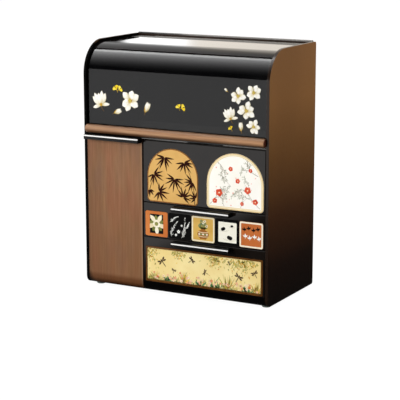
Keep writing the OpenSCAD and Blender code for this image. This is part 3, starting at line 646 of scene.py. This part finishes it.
def fan_leaf(art, at, size, turn, layer, material, tint=0.6):
    """Fan-shaped leaf with a notched edge and a stalk."""
    for way in (1, -1):
        edge = [polar(at, turn + way * a, size * (0.93 + 0.07 * math.cos(math.radians(a * 9))))
                for a in (7, 20, 34, 48, 62)]
        art.shape([at] + edge, layer, material, tint + 0.12 * way)
    stalk = bow(at, polar(at, turn + 186, size * 0.3), polar(at, turn + 160, size * 0.62), 5)
    art.stroke(stalk, size * 0.08, size * 0.05, layer, material, 0.2)


def spray(art, at, turn, spread, count, length, width, layer, material, rnd):
    """Bunch of slender leaves that fan out from one point."""
    for i in range(count):
        share = i / (count - 1) - 0.5
        angle = turn + spread * share + rnd.uniform(-5, 5)
        size = length * (1 - 0.5 * abs(share)) * rnd.uniform(0.82, 1.05)
        art.leaf(polar(at, angle, 0.8), angle, size, width * rnd.uniform(0.85, 1.1), layer + i % 3,
                 material, rnd.uniform(0.1, 0.9), size * 0.16 * share, 0.38)


def print_lid():
    """White blossoms and yellow fan leaves on the lid."""
    white = ink("print_petal", (176, 156, 92), (214, 202, 162), (234, 228, 210), (246, 243, 234),
                (250, 249, 246))
    pollen = ink("print_pollen", (176, 128, 34), (206, 170, 60), (196, 200, 92))
    stem = ink("print_stem", (84, 62, 34), (112, 86, 48))
    yellow = ink("print_ginkgo", (176, 122, 18), (238, 204, 44), (250, 232, 96))
    art = Print("lid_print", "lid_shell", (0, FOOT))
    goblet(art, (-143, 312), 25, 104, 2, white, pollen, stem)
    bud(art, (-118, 301), 16, 22, 0, white, pollen, stem)
    blossom(art, (-86, 324), 19.5, 20, 0, white, pollen)
    bud(art, (-57, 306), 19, 66, 0, white, pollen, stem)
    fan_leaf(art, (-112, 341), 8.5, 128, 0, yellow)
    fan_leaf(art, (-108, 341), 7.5, 36, 2, yellow, 0.7)
    fan_leaf(art, (12, 318), 8, 20, 0, yellow, 0.55)
    fan_leaf(art, (8, 318), 7, 122, 2, yellow, 0.7)
    blossom(art, (145, 352), 14.5, 14, 0, white, pollen)
    blossom(art, (117, 345), 14.5, 40, 5, white, pollen)
    blossom(art, (132, 322), 16, 22, 10, white, pollen)
    blossom(art, (145, 297), 13, 4, 0, white, pollen)
    goblet(art, (104, 306), 20, 108, 3, white, pollen, stem)
    bud(art, (123, 288), 15, 96, 0, white, pollen, stem)
    bud(art, (98, 351), 7.5, 140, 0, white, pollen, stem)
    fan_leaf(art, (105, 290), 6, 130, 0, yellow, 0.5)
    art.place("lid", "print_cream")


def print_left_arch():
    """Dark leaf sprays on gold."""
    low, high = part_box("left_arch_inlay")
    w, h = (high[0] - low[0]) / MM, (high[2] - low[2]) / MM
    rim = arched(w, h, 7, 0.15)
    inner = arched(w, h, 7, 1.5)
    base = ((low[0] + high[0]) / 2 / MM, low[2] / MM)
    art = Print("left_arch_print", "left_arch_inlay", base, inner)
    line = ink("print_bronze", (112, 62, 28), (142, 88, 42))
    dark = ink("print_umber", (34, 12, 7), (54, 24, 14))
    rnd = random.Random(11)
    art.ring(rim, inner, 0, line)
    art.stroke(bow((42, -2), (44, 34), (24, 70), 14), 1.3, 0.7, 0, dark, 0.8)
    art.stroke(bow((-46, 12), (-40, 40), (-16, 76), 14), 1.1, 0.6, 0, dark, 0.8)
    for at, turn, spread, count, length in (
            ((-15, 77), -98, 176, 8, 24), ((22, 71), -70, 190, 8, 22), ((-36, 47), -48, 190, 8, 22),
            ((4, 42), -100, 200, 9, 23), ((38, 40), -146, 150, 7, 22), ((-26, 18), -20, 210, 8, 21),
            ((20, 12), 60, 190, 8, 20), ((44, 12), 150, 120, 5, 16), ((-44, 20), -70, 100, 4, 15)):
        spray(art, at, turn, spread, count, length, 3.1, 2, dark, rnd)
    art.place("upper_drawer", "print_gold")


def print_right_arch():
    """Pale twigs with red flowers on cream, inside a triple border."""
    low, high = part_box("right_arch_inlay")
    w, h = (high[0] - low[0]) / MM, (high[2] - low[2]) / MM
    lines = [arched(w, h, 7, inward) for inward in (0.15, 1.6, 3.6, 4.3)]
    base = ((low[0] + high[0]) / 2 / MM, low[2] / MM)
    art = Print("right_arch_print", "right_arch_inlay", base, lines[3])
    tan = ink("print_tan", (222, 190, 128), (236, 212, 160))
    pale = ink("print_straw", (240, 224, 182), (246, 234, 202))
    twig = ink("print_twig", (150, 138, 122), (196, 188, 172))
    coral = ink("print_coral", (206, 60, 34), (234, 112, 84), (246, 186, 170))
    sage = ink("print_sage", (168, 172, 150), (210, 212, 196))
    rnd = random.Random(5)
    art.ring(lines[0], lines[1], 0, tan, 0.2)
    art.ring(lines[1], lines[2], 0, pale, 0.6)
    art.ring(lines[2], lines[3], 1, tan, 0.7)

    def twigs(start, angle, length, depth):
        end = polar(start, angle + rnd.uniform(-10, 10), length)
        middle = polar(start, angle + rnd.choice((-16, 16)), length * 0.55)
        line = bow(start, middle, end, 8)
        art.stroke(line, 0.42 + 0.24 * depth, 0.3 + 0.1 * depth, 1, twig, rnd.uniform(0.1, 0.8))
        for at in line[2:]:
            if rnd.random() < 0.55:
                turn = angle + rnd.choice((-50, 50)) + rnd.uniform(-20, 20)
                art.leaf(at, turn, rnd.uniform(2.6, 4.4), 1.2, 0, sage, rnd.random())
        if depth:
            for k in (4, 6, 8):
                turn = angle + rnd.choice((-1, 1)) * rnd.uniform(24, 52)
                twigs(line[k], turn, length * rnd.uniform(0.5, 0.68), depth - 1)

    for start, angle, length, depth in (
            ((45, 7), 128, 36, 2), ((-40, 82), -38, 28, 2), ((-46, 7), 54, 28, 2),
            ((42, 60), 148, 24, 2), ((10, 5), 78, 20, 1), ((-20, 5), 100, 16, 1)):
        twigs(start, angle, length, depth)
    for at, r in (((23, 35), 6.4), ((5, 49), 4.4), ((-29, 27), 6.8), ((-8, 68), 4.2),
                  ((37, 17), 5.2), ((-37, 13), 4.6), ((13, 12), 3.6), ((28, 68), 3.6)):
        turn = rnd.uniform(0, 72)
        for i in range(5):
            art.leaf(at, turn + 72 * i, r, r * 0.92, 4 + i % 2, coral, rnd.uniform(0.0, 0.45), 0, 0.62)
        art.disc(at, r * 0.2, 8, pale, 0.8, steps=10)
    for i in range(16):
        at = (rnd.uniform(-38, 38), rnd.uniform(7, 76))
        art.disc(at, rnd.uniform(0.6, 1.2), 3, coral, rnd.uniform(0.5, 1.0), steps=9)
    art.place("upper_drawer", "print_cream")


def tile_print(number, fence=None):
    """A print about the middle of one tile."""
    low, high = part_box("tile_%d" % number)
    return Print("tile_%d_print" % number, "tile_%d" % number,
                 ((low[0] + high[0]) / 2 / MM, (low[2] + high[2]) / 2 / MM), fence)


def print_tiles():
    """A rosette, feathery fronds, a pot of flowers, stones in water and two rows of sprigs."""
    black = ink("print_ink", (12, 11, 11), (26, 24, 23))
    cream = ink("print_ivory", (214, 194, 146), (238, 226, 192), (246, 240, 222))
    snow = ink("print_snow", (198, 200, 194), (240, 240, 234), (246, 246, 242))
    olive = ink("print_olive", (92, 104, 46), (150, 148, 84))
    jade = ink("print_jade", (70, 110, 74), (134, 162, 112))
    clay = ink("print_clay", (122, 70, 28), (170, 112, 52), (206, 160, 96))
    faint = ink("print_ripple", (176, 170, 150), (206, 200, 182))
    rice = ink("print_rice", (238, 234, 215), (249, 246, 234))
    rnd = random.Random(3)

    # Rosette
    square = rounded(26, 33, 0.8)
    art = tile_print(1, square)
    art.shape(square, 0, black)
    for i in range(10):
        art.leaf((0, 0), 18 + 36 * i, 19 if i % 2 else 15, 7.5, 2 + i % 2, cream if i % 2 else olive,
                 rnd.uniform(0.2, 0.9), 1.5, 0.6)
    for i in range(8):
        art.disc(polar((0, 0), 45 * i, 5.2), 2.1, 6, cream, rnd.uniform(0.4, 1.0), steps=12)
    art.disc((0, 0), 3.4, 8, olive, 0.8)
    art.place("middle_drawer", "print_orange")

    # Fronds and three flowers
    art = tile_print(2, rounded(41, 41, 2.4))
    for foot, middle, tip, size in (
            ((-16, -18), (-14, -2), (-3, 9), 5.0), ((4, -19), (12, -4), (10, 17), 6.0),
            ((-18, 6), (-12, 14), (-2, 17), 4.0), ((12, -2), (16, 2), (19, 10), 3.4)):
        line = bow(foot, middle, tip, 15)
        art.stroke(line, 0.6, 0.25, 0, snow, 0.3)
        for i in range(1, 15):
            before, after = line[i - 1], line[i + 1]
            angle = math.degrees(math.atan2(after[1] - before[1], after[0] - before[0]))
            for way in (-1, 1):
                if rnd.random() < 0.8:
                    turn = angle + way * rnd.uniform(42, 62)
                    length = size * (1.1 - i / 18) * rnd.uniform(0.7, 1.1)
                    art.leaf(line[i], turn, length, 0.95, 1 + i % 2, snow, rnd.uniform(0.0, 1.0),
                             -0.8 * way, 0.5)
    for at, r in (((-2, -9), 3.2), ((-7, -15), 2.4), ((4, 2), 2.0)):
        for i in range(5):
            art.leaf(at, 20 + 72 * i, r, r * 0.8, 4 + i % 2, snow, rnd.uniform(0.4, 1.0), 0, 0.6)
        art.disc(at, r * 0.22, 8, black, 0.2, steps=8)
    art.place("middle_drawer", "print_black")

    # Pot of flowers
    art = tile_print(3)
    art.ring(rounded(42.4, 42.5, 2.7), rounded(37.4, 37.5, 1.6), 0, cream, 0.55)
    pot = [(4.4, 1.4), (3.2, -0.6), (8.2, -3), (10.8, -6.6), (10.8, -9.6), (8.6, -13.2), (5.6, -15.4),
           (6.2, -16.8)]
    art.shape(pot + [(-x, y) for x, y in pot[::-1]], 1, clay, 0.35)
    for level, half in ((-4.6, 9.0), (-11.8, 9.2)):
        art.stroke([(-half, level), (0, level - 0.9), (half, level)], 1.0, 1.0, 2, cream, 0.3)
    for i in range(5):
        art.disc((-7.2 + 3.6 * i, -8.4), 1.5, 4, jade if i % 2 else cream, 0.8, steps=12)
    flowers = ((90, 10), (62, 8.4), (118, 8.4), (35, 8), (145, 8), (90, 5.4), (76, 13), (104, 13))
    for i, (turn, reach) in enumerate(flowers):
        at = polar((0, 1.4), turn, reach)
        art.stroke([(0, 1), at], 0.6, 0.4, 1, olive, 0.4)
        for k in range(6):
            art.leaf(at, 60 * k + 20 * i, 2.7, 2.2, 3 + i, jade if i % 3 else cream, rnd.uniform(0.1, 1.0),
                     0, 0.62, 6)
        art.disc(at, 0.8, 13, clay if i % 3 else olive, 0.8, steps=8)
    for turn in (8, 28, 152, 172):
        art.leaf((0, 1), turn, 9, 2.8, 1, olive, 0.3, 1.5 if turn < 90 else -1.5)
    art.place("middle_drawer", "print_gold")

    # Three stones with ripples
    art = tile_print(4)
    art.shape([(x + 0.9, y - 0.2) for x, y in rounded(33.6, 34.2, 0.9)], 0, rice)
    for at, size, turn in (((-7, 5), 4.2, 24), ((5, -9), 5.0, -16), ((9, 11), 2.6, 8)):
        for grow in (1.55, 2.1):
            ripple = [(at[0] + size * grow * 1.25 * math.cos(a), at[1] + size * grow * 0.5 * math.sin(a))
                      for a in (math.radians(200 + 14 * i) for i in range(11))]
            art.stroke(ripple, 0.35, 0.3, 1, faint, 0.4)
        c, s = math.cos(math.radians(turn)), math.sin(math.radians(turn))
        stone = rounded(size * 2, size * 1.3, size * 0.62)
        art.shape([(at[0] + x * c - y * s, at[1] + x * s + y * c) for x, y in stone], 2, black, 0.3)
    art.place("middle_drawer", "print_cream")

    # Two rows of sprigs
    art = tile_print(5)
    art.ring(rounded(42.4, 42.5, 2.7), rounded(37.2, 37.3, 1.6), 0, cream, 0.8)
    for i in range(4):
        for row, paint in ((0, black), (1, snow)):
            at = (-12.6 + 8.4 * i + 2 * row, 6.6 - 13.4 * row + (2.4 if (i + row) % 2 else 0))
            for way in (40, 90, 140):
                length = 6.4 if way == 90 else 5.4
                art.leaf(at, way + 10 * (i % 2), length, 2.5, 1 + way % 3, paint, 0.5, 0.5)
            art.stroke([at, polar(at, 262, 2.6)], 0.7, 0.4, 0, paint)
    art.place("middle_drawer", "print_orange")


def dragonfly(art, at, size, turn, wing, body):
    """Four wings, a long body and a head."""
    for angle, reach in ((62, 1.0), (100, 0.92), (-62, 1.0), (-100, 0.92)):
        art.leaf(polar(at, turn, size * 0.1), turn + angle, size * reach, size * 0.3, 5, wing, 0.5, 0, 0.62)
    spine = [polar(at, turn, size * 0.3), at, polar(at, turn + 180, size * 1.05)]
    art.stroke(spine, size * 0.2, size * 0.08, 8, body)
    art.disc(polar(at, turn, size * 0.38), size * 0.13, 9, body, steps=10)


def print_picture():
    """Meadow with grasses, ferns, flowers, hanging leaves and dragonflies, inside a bark brown border."""
    low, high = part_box("picture_inlay")
    w, h = (high[0] - low[0]) / MM, (high[2] - low[2]) / MM
    window = [(x, y + 0.5) for x, y in rounded(w - 1.0, h - 1.7, 1.4)]
    middle = ((low[0] + high[0]) / 2 / MM, (low[2] + high[2]) / 2 / MM)
    art = Print("picture_print", "picture_inlay", middle, window)
    art.ring(rounded(w - 0.2, h - 0.2, 1.9), window, 0, ink("print_bark", (72, 40, 10), (100, 62, 22)))
    grass = ink("print_grass", (104, 112, 38), (168, 160, 66), (206, 190, 96))
    fern = ink("print_fern", (54, 108, 66), (110, 148, 96))
    mist = ink("print_mist", (178, 168, 96), (216, 200, 128))
    petal = ink("print_meadow", (206, 84, 40), (232, 150, 120), (246, 226, 200))
    sun = ink("print_sun", (196, 126, 24), (242, 204, 70))
    wing = ink("print_wing", (48, 32, 26), (84, 60, 48))
    body = ink("print_body", (34, 22, 18), (60, 42, 34))
    rnd = random.Random(8)
    half_w, half_h = w / 2, h / 2
    for i in range(230):
        x = rnd.uniform(-half_w, half_w)
        tall = 4 + 8 * rnd.random() + 16 * max(0, math.sin(x / 23 + 0.9)) ** 3 * rnd.random()
        art.leaf((x, -half_h - 0.5), 90 + rnd.uniform(-34, 34), tall, rnd.uniform(0.7, 1.6),
                 rnd.randrange(3), rnd.choice((grass, mist, mist, mist, fern)), rnd.random(),
                 rnd.uniform(-3, 3))
    for mid, count, reach, drop in (
            (72, 190, 22, 12), (22, 110, 15, 9), (-98, 90, 12, 13), (-48, 60, 11, 7)):
        branch = bow((mid + reach, half_h), (mid, half_h - 3), (mid - reach * 0.7, half_h - drop), 9)
        art.stroke(branch, 0.7, 0.3, 1, grass, 0.1)
        for i in range(count):
            at = (mid + rnd.gauss(0, reach * 0.6), half_h - abs(rnd.gauss(0, drop)))
            art.leaf(at, rnd.uniform(200, 340), rnd.uniform(2.6, 5.6), rnd.uniform(1.0, 1.9),
                     rnd.randrange(2), rnd.choice((mist, mist, grass, sun)), rnd.uniform(0.0, 0.9))
    for mid, tall in ((-38, 23), (46, 27), (-92, 17), (98, 20)):
        for i in range(26):
            foot = (mid + rnd.uniform(-3, 3), -half_h)
            art.leaf(foot, 90 + rnd.gauss(0, 30), tall * rnd.uniform(0.5, 1.05), rnd.uniform(0.9, 1.7),
                     2 + i % 3, rnd.choice((grass, mist, mist, sun)), rnd.random(), rnd.uniform(-5, 5))
    for mid in (-66, -10, 22, 84):
        for i in range(9):
            art.leaf((mid + rnd.uniform(-8, 8), -half_h), 90 + rnd.uniform(-58, 58), rnd.uniform(6, 13),
                     rnd.uniform(1.8, 3.0), 5, fern, rnd.random(), rnd.uniform(-2, 2))
    for i in range(62):
        at = (rnd.uniform(-half_w + 3, half_w - 3), -half_h + 3 + abs(rnd.gauss(0, 8)))
        size, tone = rnd.uniform(1.2, 2.9), rnd.random() ** 0.5
        turn = rnd.uniform(0, 72)
        for k in range(5):
            art.leaf(at, turn + 72 * k, size, size * 0.85, 7 + k % 2, petal, tone, 0, 0.62, 6)
        art.disc(at, size * 0.3, 10, sun, 0.7, steps=8)
    for i in range(60):
        at = (rnd.uniform(-half_w + 2, half_w - 2), -half_h + 2 + abs(rnd.gauss(0, 9)))
        art.disc(at, rnd.uniform(0.35, 0.8), 4, sun, rnd.random(), steps=7)
    for at, size, turn in (
            ((-78, 6), 9.5, 130), ((-22, 15), 7.4, 40), ((4, -3), 6.2, 160), ((66, -4), 9.0, 60),
            ((96, 6), 7.4, 120), ((48, 18), 4.6, 30), ((-56, -7), 5.2, 75)):
        dragonfly(art, at, size, turn, wing, body)
    art.place("lower_drawer", "print_gold")


# Studio: white floor and backdrop, dark room in front, soft light from above

class World(Paint):
    """The world's nodes, with the same short calls."""

    def __init__(self):
        world = bpy.data.worlds.new("studio")
        world.use_nodes = True
        scene.world = world
        self.tree = world.node_tree
        self.shader = self.tree.nodes["Background"]


def make_world():
    """Even light all round, and a bright wall, a lamp and a dark room in what the gloss mirrors."""
    far_left, far_right = -0.54, -0.40
    world = World()
    ray = world.add("LightPath").outputs
    way = world.add("SeparateXYZ", i0=world.add("TexCoord").outputs["Generated"]).outputs
    x, y, z = way["X"], way["Y"], way["Z"]

    # Bright wall behind
    reach = world.math("ADD", y, world.span(x, -0.50, -0.42, 0.0, 0.20))
    peak = world.times(world.span(reach, 0.70, 0.86, 0, 1.17), world.span(x, -0.487, -0.476, 1, 0.46))
    behind = world.math("ADD", world.span(y, 0.2, 0.74, 0.5, 0.88, False), peak)
    left_end = world.span(x, -0.5228, -0.5148, 0.1, 1.0)
    corner = world.math("MAXIMUM", left_end, world.span(y, 0.7, 0.82, 1, 0))
    behind = world.times(behind, world.span(y, 0.1, 0.22), corner, world.span(z, -0.05, 0.02),
                         world.span(x, far_left, far_right, 1.05, 0.86),
                         world.span(x, -0.2, 0.15, 1.0, 0.05))

    # Lamp above
    above = world.math("POWER", world.span(y, -0.82, 0.0, smooth=False), 1.7)
    rise = world.math("SUBTRACT", z, world.span(x, far_left, -0.475, 0.12, 0.0))
    above = world.times(above, world.span(y, 0.02, 0.2, 5.0, 0.0), world.span(rise, 0.2, 0.34),
                        world.span(x, far_left, far_right, 1.14, 1.0), world.span(y, -0.1, 0.03, 1.0, 1.6))

    # Low light in front
    front = world.times(world.span(y, -0.1, 0.1, 1.0, 0.0), world.span(z, 0.181, 0.201, 1.0, 0.0))

    mirrored = world.math("ADD", world.math("ADD", behind, above), front)
    lit = world.span(z, -0.2, 1.0, 0.42, 0.56)
    light = world.blend(ray["Is Glossy Ray"], lit, mirrored)
    seen = world.math("MAXIMUM", ray["Is Camera Ray"], ray["Is Transmission Ray"])
    world.to("Strength", world.blend(seen, light, 1.0))
    warm = world.times(world.span(y, 0.3, 0.6), world.span(x, -0.487, -0.472), ray["Is Glossy Ray"])
    world.to("Color", world.mix(warm, (1, 1, 1, 1), (1, 0.925, 0.825, 1)))


def make_floor():
    """Wide white floor without a horizon, whose glow seen in the gloss is dark to the right, a painted
    shadow.
    """
    size = 12
    corners = [(-size, -size, 0), (size, -size, 0), (size, size, 0), (-size, size, 0)]
    mesh = bpy.data.meshes.new("floor")
    mesh.from_pydata(corners, [], [(0, 1, 2, 3)])
    floor = bpy.data.objects.new("floor", mesh)
    scene.collection.objects.link(floor)
    paint = Paint("floor", rough=0.9)
    ray = paint.add("LightPath").outputs
    paint.to("Base Color", paint.mix(ray["Is Camera Ray"], (0.24, 0.24, 0.235, 1), (0.86, 0.86, 0.85, 1)))
    # Painted shadow: seen in the gloss, the floor glows to the left and is dark to the right, where the box
    # shades it
    reach = paint.span(paint.axis("X"), -0.25, -0.13, 1.0, 0.03)
    glow = paint.add("Emission")
    paint.tree.links.new(paint.blend(ray["Is Glossy Ray"], 1.07, reach), glow.inputs["Strength"])
    share = paint.math("MAXIMUM", paint.times(ray["Is Camera Ray"], 0.9), ray["Is Glossy Ray"])
    share = paint.math("MAXIMUM", share, ray["Is Transmission Ray"])
    both = paint.add("MixShader", i0=share, i1=paint.shader.outputs[0], i2=glow.outputs[0])
    paint.tree.links.new(both.outputs[0], paint.tree.nodes["Material Output"].inputs["Surface"])
    mesh.materials.append(paint.material)


def make_lamp(name, place, size, power, glossy):
    """Round soft lamp aimed at the middle of the box."""
    middle = Vector((0, 0, 0.22))
    data = bpy.data.lights.new(name, "AREA")
    data.shape = "DISK"
    data.size = size
    data.energy = power
    lamp = bpy.data.objects.new(name, data)
    lamp.location = place
    lamp.rotation_euler = (middle - Vector(place)).to_track_quat("-Z", "Y").to_euler()
    lamp.visible_glossy = glossy
    scene.collection.objects.link(lamp)


make_camera()
dress_nodes()
print_lid()
print_left_arch()
print_right_arch()
print_tiles()
print_picture()
make_world()
make_floor()
make_lamp("key", (-0.9, -2.0, 0.85), 1.0, 26, False)
make_lamp("fill", (-1.75, -1.3, 0.5), 0.8, 20, True)
make_lamp("side", (1.6, 0.8, 1.5), 0.9, 12, False)
make_lamp("rear", (-1.2, 1.6, 1.4), 1.0, 16, False)
